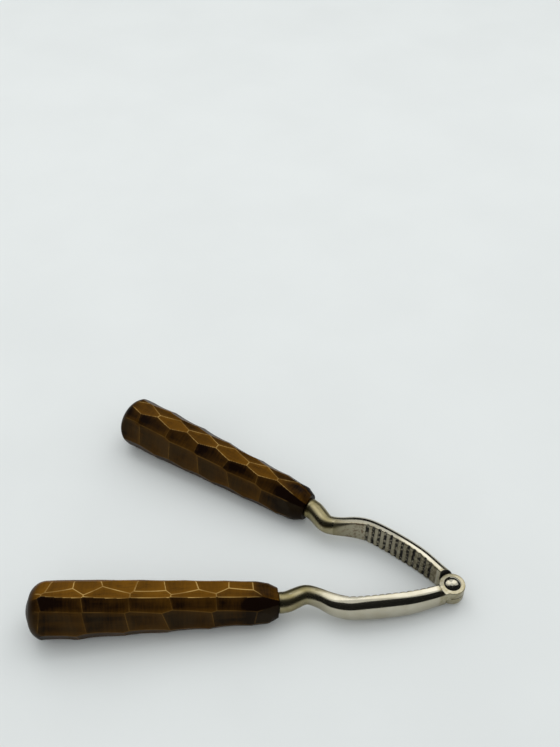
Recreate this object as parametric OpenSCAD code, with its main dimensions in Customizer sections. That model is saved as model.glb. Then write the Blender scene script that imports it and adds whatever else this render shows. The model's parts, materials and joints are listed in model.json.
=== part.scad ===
// Lever nutcracker: two identical forged levers, one of them turned over, on one
// rivet, each with a wooden grip that is faceted by hand.
// Millimetres. +Z runs along the hinge, +X from the grips towards the hinge, and
// the origin lies under the middle of the tool on the plane that the grips rest on.

/* [Pose] */
// Angle between the two levers as they lie, where 0 is closed
opening = 29.5; // [4:0.5:60]

/* [Hinge] */
// Radius of the round ear at the end of each lever
ear_r = 5.6; // [5:0.1:6.4]
// Thickness of each ear
ear_t = 3.5; // [2.8:0.1:4.4]
// Bevel on the rim of each ear
ear_bevel = 0.3; // [0.1:0.1:0.5]
// Gap between the two ears
ear_gap = 0.1; // [0.06:0.02:0.3]
// Gap between an ear and the hollow shoulder round it
shoulder_gap = 1.2; // [0.6:0.1:1.6]
// Diameter of the rivet's shank
rivet_d = 4; // [3:0.1:5]
// Running gap round the rivet's shank
rivet_fit = 0.05; // [0.03:0.01:0.09]
// Diameter of the rivet's domed heads
rivet_head_d = 7.5; // [6.4:0.1:9]
// Height of the rivet's domed heads
rivet_head_h = 1.7; // [1.2:0.1:2.2]

/* [Jaw] */
// Height of the jaw bar, along the hinge
jaw_h = 12.7; // [11:0.1:13.6]
// Thickness of the jaw bar, from its flat inner face to its round back
jaw_t = 6.2; // [5.4:0.1:7]
// Fullness of the jaw's back, from 2 for a half ellipse to 4 for nearly square
back_fullness = 2.7; // [2:0.1:4]
// Width of the eased long edges of the flat inner face
jaw_ease = 0.6; // [0.2:0.1:1]
// Distance from the hinge to the middle of the toothed face
jaw_mid = 28; // [24:0.5:32]
// How far out the middle of the toothed face lies when the tool is closed
jaw_mid_out = 7.4; // [6.8:0.1:8]
// Distance from the hinge to the end of the toothed face
jaw_end = 46; // [43:0.5:48]
// How far out the end of the toothed face lies when the tool is closed
jaw_end_out = 8.9; // [8.4:0.1:9.6]
// Number of grooves across the toothed face
groove_count = 12; // [8:1:12]
// Distance from one groove to the next
groove_pitch = 3; // [2.4:0.05:3.1]
// Width of each groove
groove_w = 1.5; // [1:0.1:1.9]
// Depth of each groove
groove_depth = 0.6; // [0.3:0.05:0.7]
// Distance from the hinge to the first groove
groove_start = 12.2; // [11:0.1:12.6]

/* [Shank] */
// Distance from the hinge to the inward kink
kink = 63.5; // [61.5:0.5:65.5]
// How far out the middle of the kink lies when the tool is closed
kink_out = 4.4; // [4.4:0.1:5.4]
// Diameter of the bar at the kink
kink_d = 8.4; // [7.6:0.1:8.8]
// Diameter of the round shank between the kink and the grip
shank_d = 9.2; // [8.6:0.1:10.2]
// Bevel on the edge of the shank where it meets the grip
shank_bevel = 0.5; // [0.2:0.1:0.8]
// Diameter of the tang inside the grip
tang_d = 6; // [4:0.1:7]
// Length of the tang inside the grip
tang_len = 72; // [50:1:85]
// Glue gap round the tang
tang_fit = 0.08; // [0.05:0.01:0.2]
// Depth of the grip's bore beyond the tang's end
bore_spare = 2; // [1:0.5:4]

/* [Grip] */
// Distance from the hinge to the grip's front face
grip_front = 75.5; // [74:0.5:79]
// How far out the middle of the grip's front face lies when the tool is closed
grip_out = 9; // [8.6:0.1:10]
// Angle of the grip's axis out from the closed tool's middle line
grip_lean = 3.6; // [2.6:0.1:5]
// Length of the grip
grip_len = 106; // [100:1:120]
// Diameter of the grip's front face
front_d = 13; // [12:0.1:15]
// Length of the tapered front of the grip
front_taper = 9.5; // [7:0.5:12]
// Diameter of the grip behind its tapered front
neck_d = 19; // [17.5:0.1:21]
// Diameter of the grip at its thickest
palm_d = 25; // [23:0.1:26]
// Distance from the front face to where the grip is thickest
palm = 86; // [80:1:90]
// Radius of the rounded edge of the butt
butt_round = 8; // [5:0.5:10]
// Height of the dome on the butt
butt_dome = 1.2; // [0.6:0.1:2]

/* [Facets] */
// Number of rows of facets around a grip
facet_rows = 9; // [7:1:10]
// Distance from one facet to the next along a row
facet_pitch = 18.5; // [16:0.5:24]
// Radius of the gouge sweep that hollows each facet along the grip
gouge_r = 110; // [80:5:140]
// How much farther out a ridge stands than the facets beside it, as a ratio
ridge = 1.085; // [1.05:0.005:1.1]
// Most that a row of facets strays from its even place around the grip, in degrees
row_sway = 12; // [0:1:14]
// Turn of the facet rows around grip A
facet_turn_a = 0; // [-10:1:10]
// Turn of the facet rows around grip B
facet_turn_b = 0; // [-10:1:10]

/* [Hidden] */
$fn = 64;
STEEL = [0.78, 0.76, 0.70];
RIVET = [0.86, 0.85, 0.82];
WOOD = [0.36, 0.22, 0.09];
CUT = 1;              // how far a cutting solid reaches past what it cuts
BIG = 60;             // more than the depth or height of any piece
DISC = 128;           // sides of the large gouge discs

shoulder_r = ear_r + shoulder_gap;
ear_top = ear_gap / 2 + ear_t;
jaw_start = 9;                      // the flat face starts behind the shoulder
root = 1.2;                         // the bar starts inside the ear
jaw_late = (jaw_mid + jaw_end) / 2 + 1;
bend = jaw_end + (kink - jaw_end) * 0.34;       // the flat face starts to round off
bend_late = jaw_end + (kink - jaw_end) * 0.68;  // the bar is nearly round here
shoulder_h = jaw_h / 2 - 1;         // half the bar's height at the hollow shoulder
shank_r = shank_d / 2;
loft_r = shank_r - 0.08;            // the loft ends just inside the round end of the shank
shank_straight = 1.8;               // straight end of the shank in front of the grip
shank_seat = grip_front - shank_bevel - shank_straight / 2;
climb = kink + (shank_seat - kink) * 0.42;       // the shank rises from the kink here
climb_end = kink + (shank_seat - kink) * 0.8;    // and levels out along the grip here
function on_grip_axis(u) = grip_out + (u - grip_front) * tan(grip_lean);
half_open = opening / 2;

// Stations of the bar: distance from the hinge, distance out, reach inwards and
// outwards from there, half the height, and fullness of the section. The reach
// inwards is 0 where the inner face is flat. The bar is round where all three
// reaches are equal and the fullness is 2.
STATIONS = [
    [root, 0.3 * root, 0, ear_r - 0.6, shoulder_h, back_fullness],
    [jaw_start, 0.3 * jaw_start - 0.1, 0, jaw_t - 0.4, shoulder_h, back_fullness],
    [(jaw_start + jaw_mid) / 2, 0.75 * jaw_mid_out, 0, jaw_t, jaw_h / 2 - 0.3, back_fullness],
    [jaw_mid, jaw_mid_out, 0, jaw_t, jaw_h / 2, back_fullness],
    [jaw_late, jaw_end_out - 0.2, 0, jaw_t, jaw_h / 2 - 0.15, back_fullness],
    [jaw_end, jaw_end_out - 0.1, 0, jaw_t + 0.3, (jaw_h + kink_d) / 4 + 0.4, back_fullness],
    [bend, jaw_end_out - 2.1, 0.2, jaw_t + 0.4, kink_d / 2 + 0.8, back_fullness],
    [bend_late, kink_out + 0.8, kink_d * 0.3, kink_d / 2 + 0.6, kink_d / 2 + 0.3, (back_fullness + 2) / 2],
    [kink, kink_out, kink_d / 2, kink_d / 2, kink_d / 2, 2],
    [climb, (kink_out + on_grip_axis(climb)) / 2, shank_r - 0.2, shank_r - 0.2, shank_r - 0.2, 2],
    [climb_end, on_grip_axis(climb_end) - 0.12, loft_r, loft_r, loft_r, 2],
    [shank_seat, on_grip_axis(shank_seat), loft_r, loft_r, loft_r, 2],
];
STEPS = 4;            // rings from one station to the next
RING = 28;            // points around each ring
END_STEP = 0.01;      // keeps the last ring inside the last pair of stations

// Outline of the grip's blank, from its front face: distance along its axis and radius
function arc(x, y, r, from, to, n) =
    [for (i = [0 : n]) let (a = from + (to - from) * i / n) [x + r * cos(a), y + r * sin(a)]];
BLANK = concat(
    [[0, 0], [0, front_d / 2]],
    [[front_taper * 0.4, (front_d + neck_d) / 4 + 0.3]],
    [[front_taper, neck_d / 2]],
    [[(front_taper + palm) / 2, (neck_d + palm_d) / 4 + 0.2]],
    [[palm, palm_d / 2]],
    arc(grip_len - butt_dome - butt_round, palm_d / 2 - butt_round, butt_round, 90, 10, 6),
    [[grip_len, 0]]
);
// Distance from the grip's axis to a facet centred at a distance along the grip
function facet_radius(s) =
    (s < palm ? neck_d + (palm_d - neck_d) * max(0, s - front_taper) / (palm - front_taper) : palm_d)
    / 2 / ridge;
// Where each row of facets starts, as a share of the pitch
ROW_SHIFT = [palm / facet_pitch, 0.4, 0.9, 0.86, 0.7, 0.3, 0.75, 0.2, 0.6, 0.95];
facet_count = ceil(grip_len / facet_pitch) + 1;
gouge_w = 0.68 * palm_d;            // more than the width of any facet

// The tool's frame: the hinge stands over the middle of the tool's box
butt_angle = half_open + grip_lean;
front_reach = grip_front * cos(half_open) - grip_out * sin(half_open);
back_reach = front_reach + max([for (p = BLANK) p[0] * cos(butt_angle) + p[1] * sin(butt_angle)]);
hinge_x = (back_reach - ear_r) / 2;
rest_r = facet_radius(palm);
hinge_z = rest_r;

// Smooth blend of one column of the stations at a distance from the hinge
function slope(i, c) =
    let (last = len(STATIONS) - 1, a = STATIONS[max(0, i - 1)], b = STATIONS[min(last, i + 1)])
    (b[c] - a[c]) / (b[0] - a[0]);
function span(u, i = 0) =
    (i >= len(STATIONS) - 2 || u < STATIONS[i + 1][0]) ? i : span(u, i + 1);
function blend(u, c) =
    let (i = span(u), a = STATIONS[i], b = STATIONS[i + 1], w = b[0] - a[0], t = (u - a[0]) / w)
    a[c] * (1 + t * t * (2 * t - 3)) + b[c] * t * t * (3 - 2 * t)
    + w * t * (1 - t) * (slope(i, c) * (1 - t) - slope(i + 1, c) * t);
function lean(u) = atan2(blend(u + 0.05, 1) - blend(u - 0.05, 1), 0.1);

// One ring of the bar: points round its section at a distance from the hinge
function ring(u) =
    let (v = blend(u, 1), inward = max(0, blend(u, 2)), outward = blend(u, 3))
    let (half = blend(u, 4), power = 2 / blend(u, 5), a = lean(u))
    [for (k = [0 : RING - 1])
        let (t = 360 * (k + 0.5) / RING, side = cos(t) > 0 ? outward : -inward)
        let (ease = cos(t) > 0 ? 0 : max(0, jaw_ease - inward))
        let (reach = side * pow(abs(cos(t)), power), rise = (half - ease) * pow(abs(sin(t)), power))
        [u - reach * sin(a), v + reach * cos(a), sin(t) > 0 ? rise : -rise]];

// The forged bar from the ear to the grip, as a loft through its stations
module bar() {
    last_station = len(STATIONS) - 1;
    places = [
        for (i = [0 : last_station - 1], k = [0 : STEPS - 1])
            STATIONS[i][0] + (STATIONS[i + 1][0] - STATIONS[i][0]) * k / STEPS,
        STATIONS[last_station][0] - END_STEP
    ];
    points = [for (u = places, p = ring(u)) p];
    last = len(places) - 1;
    sides = [
        for (i = [0 : last - 1], k = [0 : RING - 1])
            let (a = i * RING + k, b = i * RING + (k + 1) % RING)
            each [[a, a + RING, b], [b, a + RING, b + RING]]
    ];
    ends = [
        [for (k = [0 : RING - 1]) k],
        [for (k = [RING - 1 : -1 : 0]) last * RING + k]
    ];
    polyhedron(points, concat(sides, ends), convexity = 6);
}

// Grooves across the flat inner face, parallel to the hinge
module grooves() {
    r = (groove_w * groove_w / 4 + groove_depth * groove_depth) / (2 * groove_depth);
    for (i = [0 : groove_count - 1]) {
        u = groove_start + i * groove_pitch;
        a = lean(u);
        translate([u + (r - groove_depth) * sin(a), blend(u, 1) - (r - groove_depth) * cos(a), -BIG / 2])
            cylinder(r = r, h = BIG);
    }
}

// Puts its children in the grip's frame: +Z along the grip from its front face
module at_grip() {
    translate([grip_front, grip_out, 0])
        rotate([0, 0, grip_lean])
            rotate([0, 90, 0])
                children();
}

// One lever, closed, with the hinge at the origin and the grip along +X
module lever() {
    difference() {
        union() {
            bar();
            ear();
            at_grip() shank_end();
        }
        // hollow shoulder for the other lever's ear
        translate([0, 0, -BIG / 2])
            cylinder(r = shoulder_r, h = BIG / 2 + ear_gap / 2);
        // step down to the ear's outer face
        translate([0, 0, ear_top])
            cylinder(r = shoulder_r, h = BIG);
        cylinder(d = rivet_d + 2 * rivet_fit, h = BIG, center = true);
        grooves();
    }
}

// The round ear, with a bevel on both rims
module ear() {
    rotate_extrude()
        polygon([
            [0, ear_gap / 2],
            [ear_r - ear_bevel, ear_gap / 2],
            [ear_r, ear_gap / 2 + ear_bevel],
            [ear_r, ear_top - ear_bevel],
            [ear_r - ear_bevel, ear_top],
            [0, ear_top]
        ]);
}

// The last of the shank, its bevelled seat on the grip, and the tang inside the grip
module shank_end() {
    run = shank_bevel + shank_straight;
    translate([0, 0, -run])
        cylinder(d = shank_d, h = run - shank_bevel);
    translate([0, 0, -shank_bevel])
        cylinder(d1 = shank_d, d2 = shank_d - 2 * shank_bevel, h = shank_bevel);
    translate([0, 0, -run])
        cylinder(d = tang_d, h = run + tang_len);
}

// One rivet head, domed, standing on z = 0
module rivet_head() {
    r = (rivet_head_d * rivet_head_d / 4 + rivet_head_h * rivet_head_h) / (2 * rivet_head_h);
    intersection() {
        translate([0, 0, rivet_head_h - r])
            sphere(r = r);
        cylinder(d = rivet_head_d, h = rivet_head_h + CUT);
    }
}

// One grip in its own frame, with the side that rests on the table towards +X
module grip(turn) {
    difference() {
        rotate_extrude($fn = 96)
            polygon([for (p = BLANK) [p[1], p[0]]]);
        for (j = [0 : facet_rows - 1], i = [0 : facet_count - 1]) {
            s = (i + ROW_SHIFT[j] - floor(ROW_SHIFT[j])) * facet_pitch;
            sway = row_sway * sin(180 * j / facet_rows);
            if (j > 0 || s < palm - facet_pitch / 2)
                rotate([0, 0, j * 360 / facet_rows + sway + (j > 0 ? turn : 0)])
                    translate([facet_radius(s) + gouge_r, 0, s])
                        rotate([90, 0, 0])
                            cylinder(r = gouge_r, h = gouge_w, center = true, $fn = DISC);
        }
        // flat facet that the tool rests on
        translate([rest_r, -BIG / 2, 0])
            cube([BIG, BIG, grip_len + CUT]);
        translate([0, 0, -CUT])
            cylinder(d = tang_d + 2 * tang_fit, h = CUT + tang_len + bore_spare);
    }
}

// Places a closed lever's pieces where they lie in the tool
module side_a() {
    translate([hinge_x, 0, hinge_z])
        rotate([0, 0, 180 + half_open])
            children();
}
module side_b() {
    translate([hinge_x, 0, hinge_z])
        rotate([180, 0, 180 - half_open])
            children();
}

module lever_a() {
    color(STEEL) side_a() lever();
}

module lever_b() {
    color(STEEL) side_b() lever();
}

module rivet() {
    color(RIVET)
        translate([hinge_x, 0, hinge_z]) {
            cylinder(d = rivet_d, h = 2 * ear_top, center = true);
            translate([0, 0, ear_top])
                rivet_head();
            rotate([180, 0, 0])
                translate([0, 0, ear_top])
                    rivet_head();
        }
}

module grip_a() {
    color(WOOD) side_a() at_grip() grip(facet_turn_a);
}

module grip_b() {
    color(WOOD) side_b() at_grip() rotate([0, 0, 180]) grip(facet_turn_b);
}

lever_a();
lever_b();
rivet();
grip_a();
grip_b();
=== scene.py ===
"""Lever nutcracker: its forged levers, rivet and hand-faceted grips, and a plain studio."""
import json
import math
from typing import NamedTuple

import bmesh
import bpy
import numpy as np
from mathutils import Matrix, Vector


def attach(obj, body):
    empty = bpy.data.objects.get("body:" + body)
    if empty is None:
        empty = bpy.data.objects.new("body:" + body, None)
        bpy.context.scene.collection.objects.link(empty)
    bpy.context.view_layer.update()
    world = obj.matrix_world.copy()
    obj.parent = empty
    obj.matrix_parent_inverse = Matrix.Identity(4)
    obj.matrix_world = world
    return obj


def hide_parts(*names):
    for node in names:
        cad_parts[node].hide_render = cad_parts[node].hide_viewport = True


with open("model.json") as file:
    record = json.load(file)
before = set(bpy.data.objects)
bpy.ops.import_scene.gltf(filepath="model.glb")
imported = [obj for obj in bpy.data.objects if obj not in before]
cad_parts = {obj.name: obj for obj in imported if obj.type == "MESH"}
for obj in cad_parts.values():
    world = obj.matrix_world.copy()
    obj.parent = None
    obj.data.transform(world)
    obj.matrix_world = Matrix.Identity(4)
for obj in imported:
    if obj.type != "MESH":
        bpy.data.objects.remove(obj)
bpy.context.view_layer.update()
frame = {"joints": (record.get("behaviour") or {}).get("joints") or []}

bl_info = {
    "name": "Lever nutcracker",
    "version": (1, 0, 0),
    "blender": (4, 5, 0),
    "location": "3D View > Sidebar > Nutcracker",
    "description": "Makes the levers, the rivet, the grips and the studio of a lever nutcracker",
    "category": "Add Mesh",
}

MM = 0.001
HINGE = next(joint for joint in frame["joints"] if joint["name"] == "jaw_hinge")["pos_m"]


# -------------------- settings

def length(name, about, millimetres):
    """A size in metres, from its value in millimetres."""
    return bpy.props.FloatProperty(
        name=name, description=about, default=millimetres * MM, min=0.0, unit="LENGTH",
        precision=5)


def angle(name, about, degrees):
    """An angle, from its value in degrees."""
    return bpy.props.FloatProperty(
        name=name, description=about, default=math.radians(degrees), unit="ROTATION")


def share(name, about, value, top=1.0):
    """A plain number between 0 and a top."""
    return bpy.props.FloatProperty(
        name=name, description=about, default=value, min=0.0, max=top, subtype="FACTOR")


def colour(name, about, value):
    """A colour, as linear red, green and blue."""
    return bpy.props.FloatVectorProperty(
        name=name, description=about, default=value, size=3, min=0.0, max=1.0, subtype="COLOR")


class HingeSettings(bpy.types.PropertyGroup):
    """Sizes of the ears and the rivet."""
    opening: angle("Opening", "Angle between the levers as they lie", 29.5)
    ear_radius: length("Ear radius", "Radius of each lever's round ear", 5.6)
    ear_thickness: length("Ear thickness", "Thickness of each ear", 3.5)
    ear_gap: length("Ear gap", "Gap between the two ears", 0.1)
    shoulder_gap: length("Shoulder gap", "Gap between an ear and the shoulder round it", 1.2)
    ear_bevel: length("Ear bevel", "Softened edge of the ears", 0.25)
    rivet_diameter: length("Rivet diameter", "Diameter of the rivet's shank", 4.0)
    rivet_fit: length("Rivet fit", "Running gap round the rivet's shank", 0.05)
    head_diameter: length("Head diameter", "Diameter of the rivet's heads", 7.5)
    head_height: length("Head height", "Height of the rivet's heads", 1.7)


class JawSettings(bpy.types.PropertyGroup):
    """Sizes of the jaw bar and its toothed face."""
    height: length("Height", "Height of the jaw bar along the hinge", 12.7)
    thickness: length("Thickness", "Thickness of the bar from its flat face to its back", 6.2)
    fullness: share("Fullness", "Fullness of the back, 2 for an ellipse", 2.7, 4.0)
    corner: length("Corner", "Softness of the long edges of the flat face", 0.45)
    middle: length("Middle", "Distance from the hinge to the middle of the teeth", 28.0)
    middle_out: length("Middle out", "How far out that place lies when closed", 7.4)
    end: length("End", "Distance from the hinge to the end of the teeth", 46.0)
    end_out: length("End out", "How far out that place lies when closed", 8.9)
    grooves: bpy.props.IntProperty(
        name="Grooves", description="Number of grooves across the face", default=12, min=0)
    groove_pitch: length("Groove pitch", "Distance from one groove to the next", 3.0)
    groove_width: length("Groove width", "Width of each groove", 1.5)
    groove_depth: length("Groove depth", "Depth of each groove", 0.6)
    groove_start: length("Groove start", "Distance from the hinge to the first groove", 12.2)


class ShankSettings(bpy.types.PropertyGroup):
    """Sizes of the kink, the round shank and the tang."""
    kink: length("Kink", "Distance from the hinge to the inward kink", 63.5)
    kink_out: length("Kink out", "How far out the kink lies when closed", 4.4)
    kink_diameter: length("Kink diameter", "Diameter of the bar at the kink", 8.4)
    diameter: length("Diameter", "Diameter of the round shank", 9.2)
    bevel: length("Bevel", "Bevel where the shank meets the grip", 0.5)
    tang_diameter: length("Tang diameter", "Diameter of the tang in the grip", 6.0)
    tang_length: length("Tang length", "Length of the tang in the grip", 72.0)


class GripSettings(bpy.types.PropertyGroup):
    """Sizes of the wooden grips and of their facets."""
    front: length("Front", "Distance from the hinge to the grip's front face", 75.5)
    front_out: length("Front out", "How far out the front face lies when closed", 9.0)
    lean: angle("Lean", "Angle of the grip's axis out from the middle line", 3.6)
    length: length("Length", "Length of the grip", 106.0)
    front_diameter: length("Front diameter", "Diameter of the front face", 13.0)
    taper: length("Taper", "Length of the tapered front", 9.5)
    neck_diameter: length("Neck diameter", "Diameter behind the tapered front", 19.0)
    palm_diameter: length("Palm diameter", "Diameter where the grip is thickest", 24.9)
    palm: length("Palm", "Distance from the front to the thickest place", 86.0)
    butt_round: length("Butt round", "Radius of the rounded edge of the butt", 8.0)
    butt_dome: length("Butt dome", "Height of the dome on the butt", 1.2)
    bore_gap: length("Bore gap", "Glue gap round the tang", 0.08)
    pitch_a: length("Pitch a", "Distance from one facet to the next on grip a", 18.0)
    pitch_b: length("Pitch b", "Distance from one facet to the next on grip b", 17.2)
    sweep: length("Sweep", "Radius of the hollow of each facet along the grip", 70.0)
    ridge: share("Ridge", "How far out the ridges stand over the rest facet, as a ratio",
                 1.0807, 1.2)
    softness: length("Softness", "Softness of the ridges under the lacquer", 0.12)


class FinishSettings(bpy.types.PropertyGroup):
    """Colours and roughness of the metal and the wood."""
    nickel: colour("Nickel", "Bright plate on the jaws", (0.53, 0.494, 0.40))
    worn: colour("Worn plate", "Warm worn plate on kink and shank", (0.245, 0.205, 0.094))
    film: colour("Film", "Brown film over the teeth", (0.090, 0.070, 0.028))
    # also the colour of the painted shade on the round walls of the lap joint
    grime: colour("Grime", "Dark dirt in the grooves", (0.011, 0.008, 0.005))
    rust: colour("Rust", "Rust specks on the flat face", (0.13, 0.070, 0.036))
    # the light wood on the upward rows is painted top light, and the dark wood on the side rows is
    # painted shade
    wood_dark: colour("Dark wood", "Stained wood in the facets", (0.0050, 0.0019, 0.0008))
    wood_light: colour("Light wood", "Golden wood where stain is thin", (0.148, 0.061, 0.0032))
    # a painted reflection of the floor on the lower rows
    bloom: colour("Bloom", "Dull lacquer on the lower rows", (0.024, 0.017, 0.0085))
    ridge_brown: colour("Ridge brown", "Rubbed wood on the dark ridges", (0.17, 0.090, 0.020))
    # rubbed wood, with a painted highlight on the ridges of the upward rows
    ridge_gold: colour("Ridge gold", "Rubbed wood on the light ridges", (0.47, 0.30, 0.095))
    metal_roughness: share("Metal roughness", "Roughness of the polished jaws", 0.10)
    wood_roughness: share("Wood roughness", "Roughness of the lacquer", 0.28)


class StudioSettings(bpy.types.PropertyGroup):
    """The floor, the light and the camera."""
    floor: colour("Floor", "Colour of the pale floor", (0.735, 0.752, 0.748))
    sky: share("Sky", "Strength of the even light", 0.89, 4.0)
    lamp: share("Lamp", "Strength of each window lamp, in watts", 1.2, 50.0)
    lens: share("Lens", "Focal length in millimetres", 52.34, 200.0)
    pitch: angle("Camera pitch", "How far down the camera looks", 41.41)
    yaw: angle("Tool turn", "Turn of the tool on the table", -14.44)
    tilt: angle("Tool tilt", "Tilt of the tool as its jaws sink to the table", 2.18)


SETTINGS = {
    "nutcracker_hinge": HingeSettings,
    "nutcracker_jaw": JawSettings,
    "nutcracker_shank": ShankSettings,
    "nutcracker_grip": GripSettings,
    "nutcracker_finish": FinishSettings,
    "nutcracker_studio": StudioSettings,
}


# -------------------- node trees

class Wire:
    """A value that runs through a node tree. A sum written with wires adds the nodes for it."""

    def __init__(self, tree, socket):
        self.tree, self.socket = tree, socket

    def __add__(self, other):
        return calc("ADD", self, other)

    def __sub__(self, other):
        return calc("SUBTRACT", self, other)

    def __rsub__(self, other):
        return calc("SUBTRACT", other, self)

    def __mul__(self, other):
        return calc("MULTIPLY", self, other)

    def __truediv__(self, other):
        return calc("DIVIDE", self, other)

    def __pow__(self, power):
        return calc("POWER", self, power)

    def __abs__(self):
        return calc("ABSOLUTE", self)

    __radd__, __rmul__ = __add__, __mul__


def wires(tree, sockets):
    """A wire for each socket, by its name."""
    return {socket.name: Wire(tree, socket) for socket in sockets}


def put(socket, value):
    """Links a socket to a wire, or sets its value."""
    if isinstance(value, Wire):
        value.tree.links.new(value.socket, socket)
    else:
        socket.default_value = value


def node(tree, kind, *values, **named):
    """Adds a node, with values for its first inputs. Named inputs have a capital, settings none."""
    made = tree.nodes.new(kind)
    inputs = {name: value for name, value in named.items() if name[0].isupper()}
    for name, value in named.items():
        if name not in inputs:
            setattr(made, name, value)
    for socket, value in zip(made.inputs, values):
        put(socket, value)
    for name, value in inputs.items():
        put(made.inputs[name.replace("_", " ")], value)
    return made


def wire(tree, kind, *values, output=0, **named):
    """Adds a node, and returns the wire from one of its outputs."""
    return Wire(tree, node(tree, kind, *values, **named).outputs[output])


def calc(operation, *values):
    """One step of arithmetic."""
    tree = next(value.tree for value in values if isinstance(value, Wire))
    return wire(tree, "ShaderNodeMath", *values, operation=operation)


def remap(value, low, high, new_low=0.0, new_high=1.0, smooth=True):
    """A value carried from one range to another, held at its ends."""
    return wire(value.tree, "ShaderNodeMapRange", value, low, high, new_low, new_high,
                interpolation_type="SMOOTHSTEP" if smooth else "LINEAR")


def ranged(mask, low, high):
    """A mask from 0 to 1, carried to another range."""
    return remap(mask, 0.0, 1.0, low, high)


def coated(colour, *coats):
    """A colour under one coat after another: how much of it each covers, and its colour."""
    for amount, coat in coats:
        made = node(amount.tree, "ShaderNodeMix", data_type="RGBA", Factor=amount)
        for socket, value in zip(made.inputs[6:8], (colour, coat)):
            put(socket, value if isinstance(value, Wire) else (*value, 1.0))
        colour = Wire(amount.tree, made.outputs[2])
    return colour


def new_tree(name, kind, inputs, outputs):
    """A tree, its input wires and its output sockets. A socket is given by its default or kind."""
    tree = bpy.data.node_groups.new(name, kind + "NodeTree")
    for in_out, sockets in (("INPUT", inputs), ("OUTPUT", outputs)):
        for label, value in sockets.items():
            only_kind = isinstance(value, str)
            made = tree.interface.new_socket(label, in_out=in_out, socket_type="NodeSocket" + (
                value if only_kind else type(value).__name__.capitalize()))
            if not only_kind:
                made.default_value = value
    given = wires(tree, tree.nodes.new("NodeGroupInput").outputs)
    return tree, given, tree.nodes.new("NodeGroupOutput").inputs


def geometry_tree(name, values):
    """A geometry tree with an input for each of the values, and one for the material."""
    return new_tree(name, "Geometry", {"Geometry": "Geometry", **values, "Material": "Material"},
                    {"Geometry": "Geometry"})


def end_geometry(geometry, material, outputs):
    """Ends a geometry tree: plain meshes, with their material."""
    real = wire(geometry.tree, "GeometryNodeRealizeInstances", geometry)
    put(outputs[0], wire(geometry.tree, "GeometryNodeSetMaterial", real, Material=material))


def run_tree(tree, mesh, material, values):
    """Runs a geometry tree on a mesh, and returns the plain mesh that it makes."""
    values = {**values, "Material": material}
    carrier = add_object("carrier", mesh)
    modifier = carrier.modifiers.new(tree.name, "NODES")
    modifier.node_group = tree
    for item in tree.interface.items_tree:
        if item.item_type == "SOCKET" and item.in_out == "INPUT" and item.name in values:
            modifier[item.identifier] = values[item.name]
    return plain_mesh(carrier)


# -------------------- shared mesh work

def add_object(name, data):
    """A new object in the scene."""
    made = bpy.data.objects.new(name, data)
    bpy.context.scene.collection.objects.link(made)
    return made


def plain_mesh(carrier, *helpers):
    """The evaluated mesh of an object, which is then taken away with its helpers."""
    graph = bpy.context.evaluated_depsgraph_get()
    made = bpy.data.meshes.new_from_object(
        carrier.evaluated_get(graph), preserve_all_data_layers=True, depsgraph=graph)
    for each in (carrier, *helpers):
        mesh = each.data
        bpy.data.objects.remove(each)
        bpy.data.meshes.remove(mesh)
    return made


def mesh_from(name, points, faces):
    """A closed mesh from points in metres, with its faces turned outwards."""
    mesh = bpy.data.meshes.new(name)
    mesh.from_pydata([tuple(p) for p in points], [], faces)
    mesh.validate()
    work = bmesh.new()
    work.from_mesh(mesh)
    bmesh.ops.recalc_face_normals(work, faces=work.faces)
    if work.calc_volume(signed=True) < 0:
        bmesh.ops.reverse_faces(work, faces=work.faces)
    work.to_mesh(mesh)
    work.free()
    return mesh


def turned(name, outline, around):
    """A closed turned shape, from (height, radius) places that start and end on the axis."""
    rings = outline[1:-1]
    points = [(0.0, 0.0, outline[0][0])]
    for height, radius in rings:
        for k in range(around):
            a = math.tau * k / around
            points.append((radius * math.cos(a), radius * math.sin(a), height))
    points.append((0.0, 0.0, outline[-1][0]))
    last = len(points) - 1
    faces = []
    for k in range(around):
        k2 = (k + 1) % around
        faces.append((0, 1 + k2, 1 + k))
        faces.append((last, last - around + k, last - around + k2))
        for i in range(len(rings) - 1):
            a = 1 + i * around
            faces.append((a + k, a + k2, a + around + k2, a + around + k))
    return mesh_from(name, points, faces)


def cylinder(low, high, radius, around=128):
    """A round bar between two heights, to join or cut with."""
    return turned("cylinder", [(low, 0), (low, radius), (high, radius), (high, 0)], around)


def cut_or_join(mesh, steps):
    """Applies a run of (operation, other mesh) steps to a closed mesh."""
    carrier = add_object("carrier", mesh)
    others = []
    for operation, other_mesh in steps:
        others.append(add_object("other", other_mesh))
        modifier = carrier.modifiers.new(operation, "BOOLEAN")
        modifier.operation = operation
        modifier.solver = "EXACT"
        modifier.object = others[-1]
    return plain_mesh(carrier, *others)


def positions(mesh):
    """The points of a mesh, as rows."""
    flat = np.empty(len(mesh.vertices) * 3)
    mesh.vertices.foreach_get("co", flat)
    return flat.reshape(-1, 3)


def store(mesh, **fields):
    """Writes one number, or one vector, for each point of a mesh."""
    for name, values in fields.items():
        values = np.asarray(values, dtype=np.float32)
        kind, place = ("FLOAT", "value") if values.ndim == 1 else ("FLOAT_VECTOR", "vector")
        layer = mesh.attributes.new(name, kind, "POINT")
        layer.data.foreach_set(place, values.ravel())


def drop(mesh, *names):
    """Takes away values that a mesh's points no longer need."""
    for name in names:
        if name in mesh.attributes:
            mesh.attributes.remove(mesh.attributes[name])


def finish_piece(name, mesh, material, body, replaced):
    """Makes the object of a piece, gives it its body and its material's slot, and hides the part it
    replaces.
    """
    piece = add_object(name, mesh)
    mesh.name = name
    mesh.materials.clear()
    mesh.materials.append(material)
    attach(piece, body)
    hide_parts(replaced)


def soft_shade(mesh, sharp_degrees):
    """Smooth shading, with edges kept crisp where faces meet at more than an angle."""
    mesh.shade_smooth()
    mesh.set_sharp_from_angle(angle=math.radians(sharp_degrees))


# -------------------- places

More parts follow.
